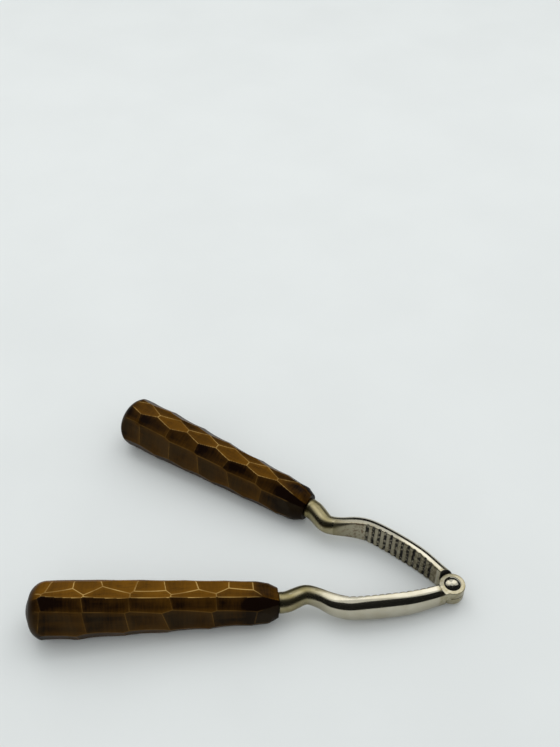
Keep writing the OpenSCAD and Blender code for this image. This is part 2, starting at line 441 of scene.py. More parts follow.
def side_place(settings, side):
    """Where a closed lever's frame lies in the tool, for side a or b."""
    half = settings.opening / 2
    place = Matrix.Translation(Vector(HINGE))
    if side == "a":
        return place @ Matrix.Rotation(math.pi + half, 4, "Z")
    return place @ Matrix.Rotation(math.pi - half, 4, "Z") @ Matrix.Rotation(math.pi, 4, "X")


def grip_place(settings):
    """Where the grip's frame lies in a closed lever's frame."""
    return (Matrix.Translation((settings.front, settings.front_out, 0.0))
            @ Matrix.Rotation(settings.lean, 4, "Z")
            @ Matrix.Rotation(math.pi / 2, 4, "Y"))


# -------------------- lever

class BarPath:
    """The middle line and the section sizes of the forged bar, in millimetres."""

    step = 0.1  # from one place to the next
    ease = 1.2  # over which the bends are softened
    jaw_start = 9.0  # where the flat face starts, behind the shoulder

    def __init__(self, hinge, jaw, shank, grip):
        ear = hinge.ear_radius / MM
        height, thickness, full = jaw.height / MM, jaw.thickness / MM, jaw.fullness
        mid, mid_out = jaw.middle / MM, jaw.middle_out / MM
        end, end_out = jaw.end / MM, jaw.end_out / MM
        kink, kink_out = shank.kink / MM, shank.kink_out / MM
        kink_r, shank_r = shank.kink_diameter / MM / 2, shank.diameter / MM / 2
        loft_r = shank_r - 0.04  # just inside the end of the shank, which covers it
        start, front = self.jaw_start, grip.front / MM
        shoulder = height / 2 - 1
        late = (mid + end) / 2 + 1
        bend, bend_late = end + (kink - end) * 0.34, end + (kink - end) * 0.68
        seat = front - 1.4
        climb, climb_end = kink + (seat - kink) * 0.42, kink + (seat - kink) * 0.8

        def on_axis(u):
            return grip.front_out / MM + (u - front) * math.tan(grip.lean)

        # distance from the hinge, out, reach inwards, reach outwards, half height, fullness
        self.stations = np.array([
            [1.2, 0.36, 0, ear - 0.6, shoulder, full],
            [start, 2.6, 0, thickness - 0.4, shoulder, full],
            [(start + mid) / 2, 0.75 * mid_out, 0, thickness, height / 2 - 0.3, full],
            [mid, mid_out, 0, thickness, height / 2, full],
            [late, end_out - 0.2, 0, thickness, height / 2 - 0.15, full],
            [end, end_out - 0.1, 0, thickness + 0.3, height / 4 + kink_r / 2 + 0.4, full],
            [bend, end_out - 2.1, 0.2, thickness + 0.4, kink_r + 0.8, full],
            [bend_late, kink_out + 0.8, kink_r * 0.6, kink_r + 0.6, kink_r + 0.3, (full + 2) / 2],
            [kink, kink_out, kink_r, kink_r, kink_r, 2],
            [climb, (kink_out + on_axis(climb)) / 2, *[shank_r - 0.2] * 3, 2],
            [climb_end, on_axis(climb_end) - 0.12, loft_r, loft_r, loft_r, 2],
            [seat, on_axis(seat), loft_r, loft_r, loft_r, 2],
        ])
        self.start, self.end = self.stations[0, 0], self.stations[-1, 0]
        self.places = np.arange(self.start, self.end + self.step / 2, self.step)
        self.columns = np.stack([self.softened(self.through(c)) for c in range(1, 6)], axis=1)
        self.slope = np.gradient(self.columns[:, 0], self.step)

    def through(self, column):
        """A smooth line through one column of the stations."""
        u, y = self.stations[:, 0], self.stations[:, column]
        before, after = np.r_[0, 0:len(u) - 1], np.r_[1:len(u), len(u) - 1]
        slope = (y[after] - y[before]) / (u[after] - u[before])
        i = np.clip(np.searchsorted(u, self.places, side="right") - 1, 0, len(u) - 2)
        w = u[i + 1] - u[i]
        t = (self.places - u[i]) / w
        return (y[i] * (1 + t * t * (2 * t - 3)) + y[i + 1] * t * t * (3 - 2 * t)
                + w * t * (1 - t) * (slope[i] * (1 - t) - slope[i + 1] * t))

    def softened(self, line):
        """The line, eased where its curvature jumps."""
        reach = int(3 * self.ease / self.step)
        kernel = np.exp(-0.5 * (np.arange(-reach, reach + 1) * self.step / self.ease) ** 2)
        x = np.arange(reach + 1)
        head = line[0] - (line[1] - line[0]) * x[:0:-1]
        tail = line[-1] + (line[-1] - line[-2]) * x[1:]
        return np.convolve(np.r_[head, line, tail], kernel / kernel.sum(), mode="valid")

    def at(self, u):
        """Out, reach inwards, reach outwards, half height, fullness and slope at a distance."""
        values = [np.interp(u, self.places, self.columns[:, c]) for c in range(5)]
        return values + [np.interp(u, self.places, self.slope)]

    def locate(self, points, batch=4000):
        """Distance along the bar, and distance outwards from its middle line, of points."""
        u, v, slope = self.places[::2], self.columns[::2, 0], self.slope[::2]
        found = []
        for first in range(0, len(points), batch):
            x, y = points[first:first + batch, 0], points[first:first + batch, 1]
            best = np.argmin((x[:, None] - u) ** 2 + (y[:, None] - v) ** 2, axis=1)
            a = np.arctan(slope[best])
            found.append((u[best], -(x - u[best]) * np.sin(a) + (y - v[best]) * np.cos(a)))
        return [np.concatenate(column) for column in zip(*found)]


def bar_section(inward, outward, half, fullness, corner):
    """Closed outline of the bar's section: distance outwards and height, from the back's middle."""
    steps = 160  # on the upper half, from the back's middle to the face's
    t = np.linspace(0, math.pi, 2 * steps + 1)
    reach = np.where(np.cos(t) > 0, outward, -max(inward, 0.0))
    q = reach * np.abs(np.cos(t)) ** (2 / fullness)
    z = half * np.abs(np.sin(t)) ** (2 / fullness)
    run = np.r_[0, np.cumsum(np.hypot(np.diff(q), np.diff(z)))]
    turn_at = run[steps] / run[-1]
    even = np.linspace(0, run[-1], steps + 1)
    q, z = np.interp(even, run, q), np.interp(even, run, z)
    q, z = np.r_[q, q[-2:0:-1]], np.r_[z, -z[-2:0:-1]]
    # its corners, softened
    width = corner / (run[-1] / steps)
    offsets = np.fft.fftfreq(len(q)) * len(q)
    kernel = np.fft.fft(np.exp(-0.5 * (offsets / width) ** 2))
    kernel /= kernel[0]
    q, z = (np.real(np.fft.ifft(np.fft.fft(line) * kernel)) for line in (q, z))
    # the points that the mesh keeps, closest together at the corner
    crowding = 1.4
    back = turn_at * (1 - (1 - np.linspace(0, 1, 21)) ** crowding)
    face = turn_at + (1 - turn_at) * np.linspace(0, 1, 17)[1:] ** crowding
    half_way = np.r_[back, face] * steps
    stops = np.r_[half_way, 2 * steps - half_way[-2:0:-1]]
    index = np.arange(len(q) + 1)
    return np.interp(stops, index, np.r_[q, q[0]]), np.interp(stops, index, np.r_[z, z[0]])


def bar_mesh(path, jaw):
    """The smooth forged bar of a closed lever, before its teeth are pressed."""
    first = (jaw.groove_start - jaw.groove_pitch) / MM
    last = (jaw.groove_start + jaw.groove_pitch * jaw.grooves) / MM
    # from one section to the next; they lie closest together where the teeth go
    ear_step, teeth_step, shank_step = 0.5, 0.14, 0.45
    places = np.r_[np.arange(path.start, first, ear_step), np.arange(first, last, teeth_step),
                   np.arange(last, path.end - 0.2, shank_step), path.end]
    points, along, depth, outward = [], [], [], []
    for u in places:
        out, inner, outer, half, full, slope = path.at(u)
        a = math.atan(slope)
        q, z = bar_section(inner, outer, half, full, jaw.corner / MM)
        points.append(np.stack([u - q * math.sin(a), out + q * math.cos(a), z], axis=1))
        along.append(np.full(len(q), u))
        depth.append(q)
        outward.append(np.tile([-math.sin(a), math.cos(a), 0.0], (len(q), 1)))
    around = len(points[0])
    end = (len(places) - 1) * around
    faces = [tuple(range(around)), tuple(range(end, end + around))]
    for i in range(0, end, around):
        for k in range(around):
            a, b = i + k, i + (k + 1) % around
            faces.append((a, b, b + around, a + around))
    mesh = mesh_from("bar", np.concatenate(points) * MM, faces)
    store(mesh, along=np.concatenate(along) * MM, depth=np.concatenate(depth) * MM,
          outward=np.concatenate(outward))
    return mesh


def teeth_tree(values):
    """Geometry nodes that press evenly spaced round grooves into the flat face of the bar."""
    tree, value, outputs = geometry_tree("press_teeth", values)

    def read(name, kind="FLOAT"):
        return wire(tree, "GeometryNodeInputNamedAttribute", name, data_type=kind)

    deep, pitch = value["Depth"], value["Pitch"]
    # radius of the round cutter that gives this width at this depth
    radius = ((value["Width"] * 0.5) ** 2.0 + deep ** 2.0) / (deep * 2.0)
    # distance to the nearest groove
    steps = (read("along") - value["Start"]) / pitch
    nearest = calc("MINIMUM", calc("MAXIMUM", calc("ROUND", steps), 0.0), value["Grooves"] - 1.0)
    away = (steps - nearest) * pitch
    inside = radius ** 2.0 - away * away
    bottom = calc("SQRT", calc("MAXIMUM", inside, 0.0)) - (radius - deep)
    pressed = calc("SMOOTH_MAX", read("depth"), bottom, value["Softness"])
    push = (pressed - read("depth")) * calc("GREATER_THAN", inside, 0.0)
    offset = wire(tree, "ShaderNodeVectorMath", read("outward", "FLOAT_VECTOR"),
                  operation="SCALE", Scale=push)
    moved = wire(tree, "GeometryNodeSetPosition", value["Geometry"], Offset=offset)
    end_geometry(moved, value["Material"], outputs)
    return tree


def lever_mesh(scene, path, material):
    """One whole lever, closed, in its own frame."""
    hinge, jaw, shank = scene.nutcracker_hinge, scene.nutcracker_jaw, scene.nutcracker_shank
    teeth = {"Grooves": jaw.grooves, "Pitch": jaw.groove_pitch, "Width": jaw.groove_width,
             "Depth": jaw.groove_depth, "Start": jaw.groove_start, "Softness": 0.15 * MM}
    mesh = run_tree(teeth_tree(teeth), bar_mesh(path, jaw), material, teeth)
    low, top = hinge.ear_gap / 2, hinge.ear_gap / 2 + hinge.ear_thickness
    shoulder = hinge.ear_radius + hinge.shoulder_gap
    far = 30 * MM  # past the bar on either side
    ear_foot, ear_head = -2 * MM, 6 * MM  # past the ear's two faces, which are cut below
    ear = cylinder(ear_foot, ear_head, hinge.ear_radius)
    rivet_hole = cylinder(-far, far, hinge.rivet_diameter / 2 + hinge.rivet_fit, 96)
    # the end of the shank, which runs a little back over the bar, then its bevel and the tang
    r, tang_r = shank.diameter / 2, shank.tang_diameter / 2
    overlap, bevel, end = 3.6 * MM, shank.bevel, shank.tang_length
    tang = turned("tang", [
        (-overlap, 0), (-overlap, r - 0.3 * MM), (-overlap / 2, r), (-bevel - 0.06 * MM, r),
        (-bevel * 0.8, r - bevel * 0.12), (-bevel * 0.1, r - bevel * 0.9), (0, r - bevel),
        (0, tang_r), (end - tang_r * 0.4, tang_r), (end, tang_r * 0.6), (end, 0)], 96)
    tang.transform(grip_place(scene.nutcracker_grip))
    mesh = cut_or_join(mesh, [
        ("UNION", ear), ("UNION", tang), ("DIFFERENCE", cylinder(-far, low, shoulder)),
        ("DIFFERENCE", cylinder(top, far, shoulder)), ("DIFFERENCE", rivet_hole)])
    soften_ears(mesh, hinge)
    drop(mesh, "along", "depth", "outward")
    return mesh


def soften_ears(mesh, hinge):
    """Bevels the round rims of the ear."""
    near = 0.002 * MM  # points closer than this are one
    work = bmesh.new()
    work.from_mesh(mesh)
    bmesh.ops.remove_doubles(work, verts=work.verts, dist=near)
    low, top = hinge.ear_gap / 2, hinge.ear_gap / 2 + hinge.ear_thickness

    def on_rim(vert):
        radius = math.hypot(vert.co.x, vert.co.y)
        return (abs(radius - hinge.ear_radius) < 10 * near
                and min(abs(vert.co.z - low), abs(vert.co.z - top)) < near)

    rims = [edge for edge in work.edges if all(on_rim(vert) for vert in edge.verts)]
    bmesh.ops.bevel(work, geom=rims, offset=hinge.ear_bevel, segments=3, profile=0.5,
                    affect="EDGES")
    work.to_mesh(mesh)
    work.free()


def paint_lever(mesh, path, jaw):
    """Stores where the flat face and its grooves are, and where on the bar a point lies."""
    points = positions(mesh) / MM
    along, outward = path.locate(points)
    start, pitch = jaw.groove_start / MM, jaw.groove_pitch / MM
    nearest = np.clip(np.round((along - start) / pitch), 0, jaw.grooves - 1)
    away = np.abs(along - start - nearest * pitch) / (jaw.groove_width / MM / 2)
    # the flat face, which fades out at its long edges and ends where the bar turns round
    face_start, face_end, edge_out, edge_fade = 8.5, 60, 1.0, 0.6
    face = (np.clip((edge_out - outward) / edge_fade, 0, 1)
            * (along > face_start) * (along < face_end))
    store(mesh, groove=np.clip(1.25 - away, 0, 1) * face, flat_face=face,
          bar_place=np.stack([along, outward, points[:, 2]], axis=1) * MM,
          hinge_place=points * MM)


# -------------------- grips

class Row(NamedTuple):
    """One hand-cut row of hollow facets along a grip."""
    middle: float       # angle of its middle round from the rest facet, in degrees
    out: float          # how far out it lies, as a share of the turned radius
    shift: float        # its shift along the grip, in facets
    thin_stain: float   # how thin its stain is, with painted top light on the upward rows
    bloom: float        # how much painted reflection of the floor its lacquer shows
    twist: float = 0.0  # how far the row winds round the grip, in degrees per mm
    skew: float = 0.0   # how far each facet turns against its row, in degrees per mm
    pitch: float = 1.0  # length of its facets, as a share of the grip's pitch
    sweep: float = 1.0  # radius of its hollows along the grip, as a share of the grip's


# the rows round each grip; the first is the bottom row, which stops before the rest facet; the
# upward rows' thin stain is painted top light, the side rows' dark stain is painted shade, and the
# lower rows carry a painted floor reflection
BOTTOM_ROW = Row(0, 0.940, 0.649, 0.16, 0.5, sweep=1.26)
FACET_ROWS = {
    "a": (
        BOTTOM_ROW,
        Row(36, 0.961, 0.30, 0.12, 0.6),
        Row(66, 0.962, 0.15, 0.20, 0.8, twist=0.1),
        Row(107, 0.903, 0.06, 0.17, 0.7, twist=0.25, skew=0.1),
        Row(147.5, 0.964, 0.98, 0.12, 0.0, twist=0.15, skew=0.1),
        Row(176, 0.974, 0.98, 0.66, 0.0, twist=0.08, skew=-0.1),
        Row(190, 0.957, 0.22, 0.76, 0.0, twist=0.05, pitch=0.7),
        Row(249, 0.953, 0.72, 0.40, 0.2),
        Row(283, 0.945, 0.20, 0.20, 0.3),
        Row(321, 0.945, 0.60, 0.14, 0.6),
    ),
    "b": (
        BOTTOM_ROW,
        Row(33, 0.974, 0.65, 0.16, 0.6),
        Row(63, 0.968, 0.25, 0.20, 0.8),
        Row(105, 0.902, 0.75, 0.24, 0.8, twist=0.1, skew=0.1),
        Row(150, 0.979, 0.95, 0.10, 0.0, twist=0.05, skew=0.1),
        Row(179.5, 0.978, 0.45, 0.54, 0.0),
        Row(195, 0.994, 0.95, 0.30, 0.1),
        Row(228, 0.927, 0.40, 0.28, 0.1),
        Row(273, 0.924, 0.30, 0.18, 0.3),
        Row(318, 0.924, 0.55, 0.18, 0.6),
    ),
}
FAR = 1.0  # more than any radius, in metres


def blank_mesh(grip, shank):
    """The turned blank of a grip in its own frame, with its bore, ready for its facets."""
    front_r, neck_r = grip.front_diameter / 2, grip.neck_diameter / 2
    palm_r, edge = grip.palm_diameter / 2, grip.butt_round
    centre = grip.length - grip.butt_dome - edge
    knots = np.array([
        [0.35 * MM, front_r], [grip.taper * 0.4, (front_r + neck_r) / 2 + 0.3 * MM],
        [grip.taper, neck_r], [(grip.taper + grip.palm) / 2, (neck_r + palm_r) / 2 + 0.2 * MM],
        [grip.palm, palm_r], [centre, palm_r]])
    ring_step = 0.38 * MM  # from one ring of points to the next
    stations = np.arange(knots[0, 0], knots[-1, 0], ring_step)
    # the bore from its bottom to its mouth, and the front face
    bore_r, bore_end = shank.tang_diameter / 2 + grip.bore_gap, shank.tang_length + 2 * MM
    inner = [(bore_end, bore_r), (bore_end * 0.5, bore_r), (0.3 * MM, bore_r),
             (0.0, bore_r + 0.25 * MM)]
    inner += [(0.0, r) for r in np.linspace(bore_r + 0.6 * MM, front_r - 0.5 * MM, 6)]
    inner += [(0.03 * MM, front_r - 0.25 * MM), (0.15 * MM, front_r - 0.08 * MM)]
    # the carved skin, the rounded edge of the butt and its dome
    outer = list(zip(stations, np.interp(stations, knots[:, 0], knots[:, 1])))
    for a in (math.radians(90 - 80 * k / 26) for k in range(27)):
        outer.append((centre + edge * math.cos(a), palm_r - edge + edge * math.sin(a)))
    last_place, last_r = outer[-1]
    for fall in (1 - k / 9 for k in range(1, 9)):
        outer.append((grip.length - (grip.length - last_place) * fall ** 2, last_r * fall))
    around = 264
    mesh = turned("blank", [(bore_end, 0.0)] + inner + outer + [(grip.length, 0.0)], around)
    points = positions(mesh)
    skin = np.zeros(len(points))
    skin[1 + len(inner) * around:-1] = 1
    store(mesh, station=points[:, 2], around=np.arctan2(points[:, 1], points[:, 0]),
          turned_radius=np.hypot(points[:, 0], points[:, 1]), skin=skin)
    return mesh


def facet_tree(side, values):
    """Geometry nodes that carve the rows of hollow facets round the turned blank of a grip."""
    tree, value, outputs = geometry_tree("carve_facets_" + side, values)
    rows = FACET_ROWS[side]

    def read(name):
        return wire(tree, "GeometryNodeInputNamedAttribute", name, data_type="FLOAT")

    def write(geometry, **fields):
        for name, field in fields.items():
            geometry = wire(tree, "GeometryNodeStoreNamedAttribute", geometry, data_type="FLOAT",
                            domain="POINT", Name=name, Value=field)
        return geometry

    def choose(test, if_false, if_true):
        return wire(tree, "GeometryNodeSwitch", test, if_false, if_true, input_type="FLOAT")

    def less(first, second):
        return wire(tree, "FunctionNodeCompare", first, second, data_type="FLOAT",
                    operation="LESS_THAN")

    def pick(number, values):
        """The value of a row, from the values of all of them."""
        made = node(tree, "GeometryNodeIndexSwitch", data_type="FLOAT")
        while len(made.index_switch_items) < len(values):
            made.index_switch_items.new()
        put(made.inputs["Index"], number)
        for socket, amount in zip(list(made.inputs)[1:], values):
            put(socket, amount)
        return Wire(tree, made.outputs[0])

    def across_plane(depth, turn):
        """Distance from the axis to a plane at a depth, seen at an angle from its middle."""
        edge_on = 0.3  # below this cosine a plane lies too nearly edge-on to cut
        facing = calc("COSINE", turn)
        return choose(less(facing, edge_on), depth / calc("MAXIMUM", facing, 0.01), FAR)

    station, radius, around = read("station"), read("turned_radius"), read("around")
    rest = across_plane(value["Rest Depth"], around)
    geometry = write(
        value["Geometry"], nearest=rest, near_slope=calc("TANGENT", around), next=2 * FAR,
        next_slope=0.0, carved=calc("SMOOTH_MIN", radius, rest, value["Softness"]),
        cross_edge=FAR, thin_stain=BOTTOM_ROW.thin_stain, bloom=BOTTOM_ROW.bloom, tone=0.5,
        facet_end=0.0)

    # the rows are cut one after the other
    start = tree.nodes.new("GeometryNodeRepeatInput")
    stop = tree.nodes.new("GeometryNodeRepeatOutput")
    start.pair_with_output(stop)
    put(start.inputs["Iterations"], len(rows))
    put(start.inputs["Geometry"], geometry)
    row_number = Wire(tree, start.outputs["Iteration"])
    row = Row(*(pick(row_number, column) for column in zip(*rows)))
    twist, skew = (calc("RADIANS", rate * 1000.0) for rate in (row.twist, row.skew))
    skew = twist + skew
    pitch, sweep = value["Pitch"] * row.pitch, value["Sweep"] * row.sweep
    turn = around - calc("RADIANS", row.middle)
    # how far a hollow rises from its middle to its ends
    rise_at_end = pitch ** 2.0 / (sweep * 8.0)

    # the two facets of this row on either side of the point; the bottom row stops before the palm
    last_of_bottom = calc("FLOOR", value["Palm"] / pitch - 0.51 - row.shift)
    no_end = 99.0  # more facets than any row has
    last = choose(less(row_number, 0.5), no_end, last_of_bottom)

    def held(index):
        return calc("MAXIMUM", calc("MINIMUM", index, last), 0.0)

    lower = held(calc("FLOOR", station / pitch - row.shift))
    upper = held(lower + 1.0)

    def chance(number, add_to_seed, spread=None):
        """A random number from 0 to 1, or a stray to either side, for one facet."""
        made = node(tree, "FunctionNodeRandomValue", data_type="FLOAT")
        sockets = {socket.name: socket for socket in made.inputs if socket.enabled}
        put(sockets["ID"], number)
        put(sockets["Seed"], value["Seed"] + add_to_seed)
        drawn = Wire(tree, next(socket for socket in made.outputs if socket.enabled))
        return drawn if spread is None else (drawn - 0.5) * (spread * 2.0)

    def hollow(index):
        """Reach of a facet's hollow, its slope there, its place along the facet and its tone."""
        number = row_number * 31.0 + index  # each facet has its own
        middle = (index + row.shift + chance(number, 10.0, value["Stray Place"])) * pitch
        across = remap(station, value["Taper"], value["Palm"],
                       value["Neck Radius"], value["Palm Radius"], smooth=False)
        depth = across * row.out - rise_at_end + chance(number, 20.0, value["Stray Depth"])
        away = station - middle
        turned_by = (turn + chance(number, 30.0, value["Stray Turn"])
                     - (middle - value["Middle"]) * twist - away * skew)
        return (across_plane(depth + away * away / (sweep * 2.0), turned_by),
                calc("TANGENT", turned_by), away / pitch, chance(number, 0.0))

    one, other = hollow(lower), hollow(upper)
    swap = less(other[0], one[0])
    cut, slope, along, tone = (choose(swap, *pair) for pair in zip(one, other))
    # distance to the edge between the two, where there are two
    edge = choose(less(abs(lower - upper), 0.5), abs(one[0] - other[0]) * sweep / pitch, FAR)
    wins, second_best = less(cut, read("nearest")), less(cut, read("next"))
    # each point takes its row's stain, which carries painted top light and shade, and its painted
    # floor reflection
    taken = {"tone": tone, "facet_end": along, "thin_stain": row.thin_stain,
             "bloom": row.bloom, "cross_edge": edge}
    put(stop.inputs["Geometry"], write(
        Wire(tree, start.outputs["Geometry"]),
        **{name: choose(wins, read(name), new) for name, new in taken.items()},
        next_slope=choose(
            wins, choose(second_best, read("next_slope"), slope), read("near_slope")),
        near_slope=choose(wins, read("near_slope"), slope),
        next=calc("MINIMUM", read("next"), calc("MAXIMUM", read("nearest"), cut)),
        carved=calc("SMOOTH_MIN", read("carved"), cut, value["Softness"]),
        nearest=calc("MINIMUM", read("nearest"), cut)))

    # how near a ridge is, in the row or beside it, and how far inside the facets the blank is
    fan = abs(read("next_slope") - read("near_slope"))
    side_edge = (read("next") - read("nearest")) / calc("MAXIMUM", fan, 0.15)
    geometry = write(
        Wire(tree, stop.outputs["Geometry"]), uncarved=read("nearest") - radius,
        ridge_distance=calc("MINIMUM", side_edge, read("cross_edge")))
    ratio = calc("MAXIMUM", read("carved"), 1e-6) / calc("MAXIMUM", radius, 1e-6)
    place = wire(tree, "ShaderNodeVectorMath", wire(tree, "GeometryNodeInputPosition"),
                 wire(tree, "ShaderNodeCombineXYZ", ratio, ratio, 1.0), operation="MULTIPLY")
    moved = wire(tree, "GeometryNodeSetPosition", geometry,
                 Selection=less(0.5, read("skin")), Position=place)
    end_geometry(moved, value["Material"], outputs)
    return tree


def grip_mesh(scene, side, material, seed):
    """One carved grip in its own frame."""
    grip = scene.nutcracker_grip
    facets = {
        "Pitch": {"a": grip.pitch_a, "b": grip.pitch_b}[side], "Taper": grip.taper,
        "Palm": grip.palm, "Middle": grip.length / 2, "Neck Radius": grip.neck_diameter / 2,
        "Palm Radius": grip.palm_diameter / 2, "Rest Depth": grip.palm_diameter / 2 / grip.ridge,
        "Sweep": grip.sweep, "Softness": grip.softness, "Seed": seed,
        # how far a facet strays by hand: round the grip in radians, deeper in metres and
        # along the grip in facets
        "Stray Turn": 0.05, "Stray Depth": 0.15 * MM, "Stray Place": 0.06}
    mesh = run_tree(facet_tree(side, facets), blank_mesh(grip, scene.nutcracker_shank),
                    material, facets)
    place = positions(mesh)
    place[:, 0] += seed * 0.31  # so that the two grips come from different wood
    store(mesh, wood_place=place)
    drop(mesh, "nearest", "near_slope", "next", "next_slope", "carved", "cross_edge",
         "turned_radius")
    return mesh


# -------------------- shader groups

def noise(vector, scale, detail=2.0, distortion=0.0):
    """Soft noise, from 0 to 1."""
    return wire(vector.tree, "ShaderNodeTexNoise", Vector=vector, Scale=scale, Detail=detail,
                Distortion=distortion)


def long_grain():
    """Streaks and pores that run along Z: colour masks and height."""
    tree, value, outputs = new_tree(
        "long_grain", "Shader", {"Vector": "Vector", "Width": 1.0, "Stretch": 0.06},
        {"Streaks": "Float", "Pores": "Float", "Height": "Float"})
    scale = wire(tree, "ShaderNodeCombineXYZ", 1.0, 1.0, value["Stretch"])
    drawn_out = wire(tree, "ShaderNodeVectorMath", value["Vector"], scale, operation="MULTIPLY")
    sized = wire(tree, "ShaderNodeVectorMath", drawn_out, operation="SCALE", Scale=value["Width"])
    broad = noise(sized, 350.0, 4.0, 0.6)
    pores = remap(noise(sized, 2600.0, 3.0), 0.56, 0.72)
    put(outputs["Streaks"], remap(broad, 0.3, 0.72))
    put(outputs["Pores"], pores)
    put(outputs["Height"], broad - pores * 0.35)
    return tree


def handled_surface():
    """Cloudy variation, with small specks: masks and height."""
    tree, value, outputs = new_tree(
        "handled_surface", "Shader", {"Vector": "Vector", "Scale": 120.0, "Speck Scale": 1400.0},
        {"Clouds": "Float", "Specks": "Float", "Height": "Float"})
    clouds = noise(value["Vector"], value["Scale"], 5.0)
    put(outputs["Clouds"], remap(clouds, 0.3, 0.7))
    put(outputs["Specks"], remap(noise(value["Vector"], value["Speck Scale"]), 0.6, 0.7))
    put(outputs["Height"], clouds)
    return tree


def edge_wear():
    """Wear on the raised edges of a piece, broken up by noise."""
    tree, value, outputs = new_tree(
        "edge_wear", "Shader", {"Vector": "Vector", "Low": 0.52, "High": 0.6}, {"Wear": "Float"})
    raised = wire(tree, "ShaderNodeNewGeometry", output="Pointiness")
    broken = remap(noise(value["Vector"], 500.0), 0.3, 0.55, 0.3, 1.0)
    put(outputs["Wear"], remap(raised, value["Low"], value["High"]) * broken)
    return tree


def use_group(tree, maker, **values):
    """Places a shader group, made once, in a material with its own values."""
    group = bpy.data.node_groups.get(maker.__name__) or maker()
    return wires(tree, node(tree, "ShaderNodeGroup", node_tree=group, **values).outputs)


# -------------------- materials
# where they follow a piece, the numbers are distances in metres

def new_material(name):
    """A material, its tree and the inputs of its Principled shader."""
    material = bpy.data.materials.new(name)
    material.use_nodes = True
    tree = material.node_tree
    tree.nodes.clear()
    shader = tree.nodes.new("ShaderNodeBsdfPrincipled")
    output = tree.nodes.new("ShaderNodeOutputMaterial")
    tree.links.new(shader.outputs[0], output.inputs["Surface"])
    return material, tree, shader.inputs


def attribute(tree, name, output="Fac"):
    """A value that a mesh carries."""
    return wire(tree, "ShaderNodeAttribute", attribute_name=name, output=output)


def object_place(tree):
    """The place of a point on its object."""
    return wire(tree, "ShaderNodeTexCoord", output="Object")


def bump(height, distance, strength):
    """A normal that follows a height."""
    return wire(height.tree, "ShaderNodeBump", Height=height, Distance=distance,
                Strength=strength)


def steel_material(finish, hinge):
    """Nickel plate: bright on the jaws, warm and dull on the shank, dirty in the grooves, with
    painted shade on the round walls of the lap joint.
    """
    material, tree, shader = new_material("lever_nickel")
    place = object_place(tree)
    along = wire(tree, "ShaderNodeSeparateXYZ", attribute(tree, "bar_place", "Vector"))
    surface = use_group(tree, handled_surface, Vector=place, Scale=140.0, Speck_Scale=1100.0)
    clouds = surface["Clouds"]
    mottling = use_group(
        tree, handled_surface, Vector=place, Scale=700.0, Speck_Scale=2400.0)["Clouds"]
    edge = use_group(tree, edge_wear, Vector=place)["Wear"]
    on_face = attribute(tree, "flat_face")
    on_ear = remap(along, 0.0085, 0.0065)
    on_shank = remap(along, 0.050, 0.066) * ranged(clouds, 0.8, 1.0)
    # a brown film that is thickest near the hinge, and rust specks at the end of the teeth
    film = remap(along, 0.049, 0.014, 0.03, 0.85) * ranged(mottling, 0.45, 1.0)
    end_of_teeth = remap(along, 0.040, 0.047) * remap(along, 0.060, 0.050)
    rust = calc("MAXIMUM", end_of_teeth * remap(mottling, 0.45, 0.95, 0.0, 0.7),
                surface["Specks"] * 0.5)
    # dirt in the grooves, and painted shade: black painted on the round walls of the lap joint
    dirt_and_joint_shade = remap(attribute(tree, "groove") * ranged(mottling, 0.35, 1.25), 0.13, 0.52)
    x, y, z = (wire(tree, "ShaderNodeSeparateXYZ", attribute(tree, "hinge_place", "Vector"),
                    output=axis) for axis in range(3))
    wall = abs(calc("SQRT", x ** 2.0 + y ** 2.0) - (hinge.ear_radius + hinge.shoulder_gap))
    off_ear = abs(z - (hinge.ear_gap + hinge.ear_thickness) / 2)
    beside_ear = calc("GREATER_THAN", off_ear, hinge.ear_thickness / 2 - 0.02 * MM)
    # the painted shade on the joint walls is joined to the groove dirt here
    dirt_and_joint_shade = calc("MAXIMUM", dirt_and_joint_shade, remap(wall, 0.00025, 0.00008) * beside_ear)
    put(shader["Base Color"], coated(
        finish.nickel, (on_shank, finish.worn), (clouds * 0.25, finish.worn),
        (on_ear * ranged(mottling, 0.4, 0.75), finish.worn), (on_face * 0.35, finish.worn),
        (film * on_face, finish.film), (rust * on_face, finish.rust), (dirt_and_joint_shade, finish.grime),
        (edge * 0.4, finish.nickel)))
    put(shader["Metallic"], ranged(dirt_and_joint_shade, 1.0, 0.0))
    flat = calc("MAXIMUM", on_face, on_ear * 0.5)
    put(shader["Roughness"], (finish.metal_roughness + clouds * 0.05 + on_shank * 0.21
                              + flat * 0.25 + dirt_and_joint_shade * 0.6))
    put(shader["Normal"], bump(surface["Height"], 0.12 * MM, 0.35))
    return material


def rivet_material(finish):
    """Pale polished nickel with fine handling marks."""
    material, tree, shader = new_material("rivet_nickel")
    place = object_place(tree)
    surface = use_group(tree, handled_surface, Vector=place, Scale=420.0, Speck_Scale=2600.0)
    edge = use_group(tree, edge_wear, Vector=place)["Wear"]
    put(shader["Base Color"], coated(
        finish.nickel, (surface["Clouds"] * 0.35, finish.worn),
        (surface["Specks"] * 0.4, finish.grime), (edge * 0.4, finish.nickel)))
    put(shader["Metallic"], 1.0)
    put(shader["Roughness"], ranged(surface["Clouds"], 0.1, 0.22))
    put(shader["Normal"], bump(surface["Height"], 0.06 * MM, 0.3))
    return material


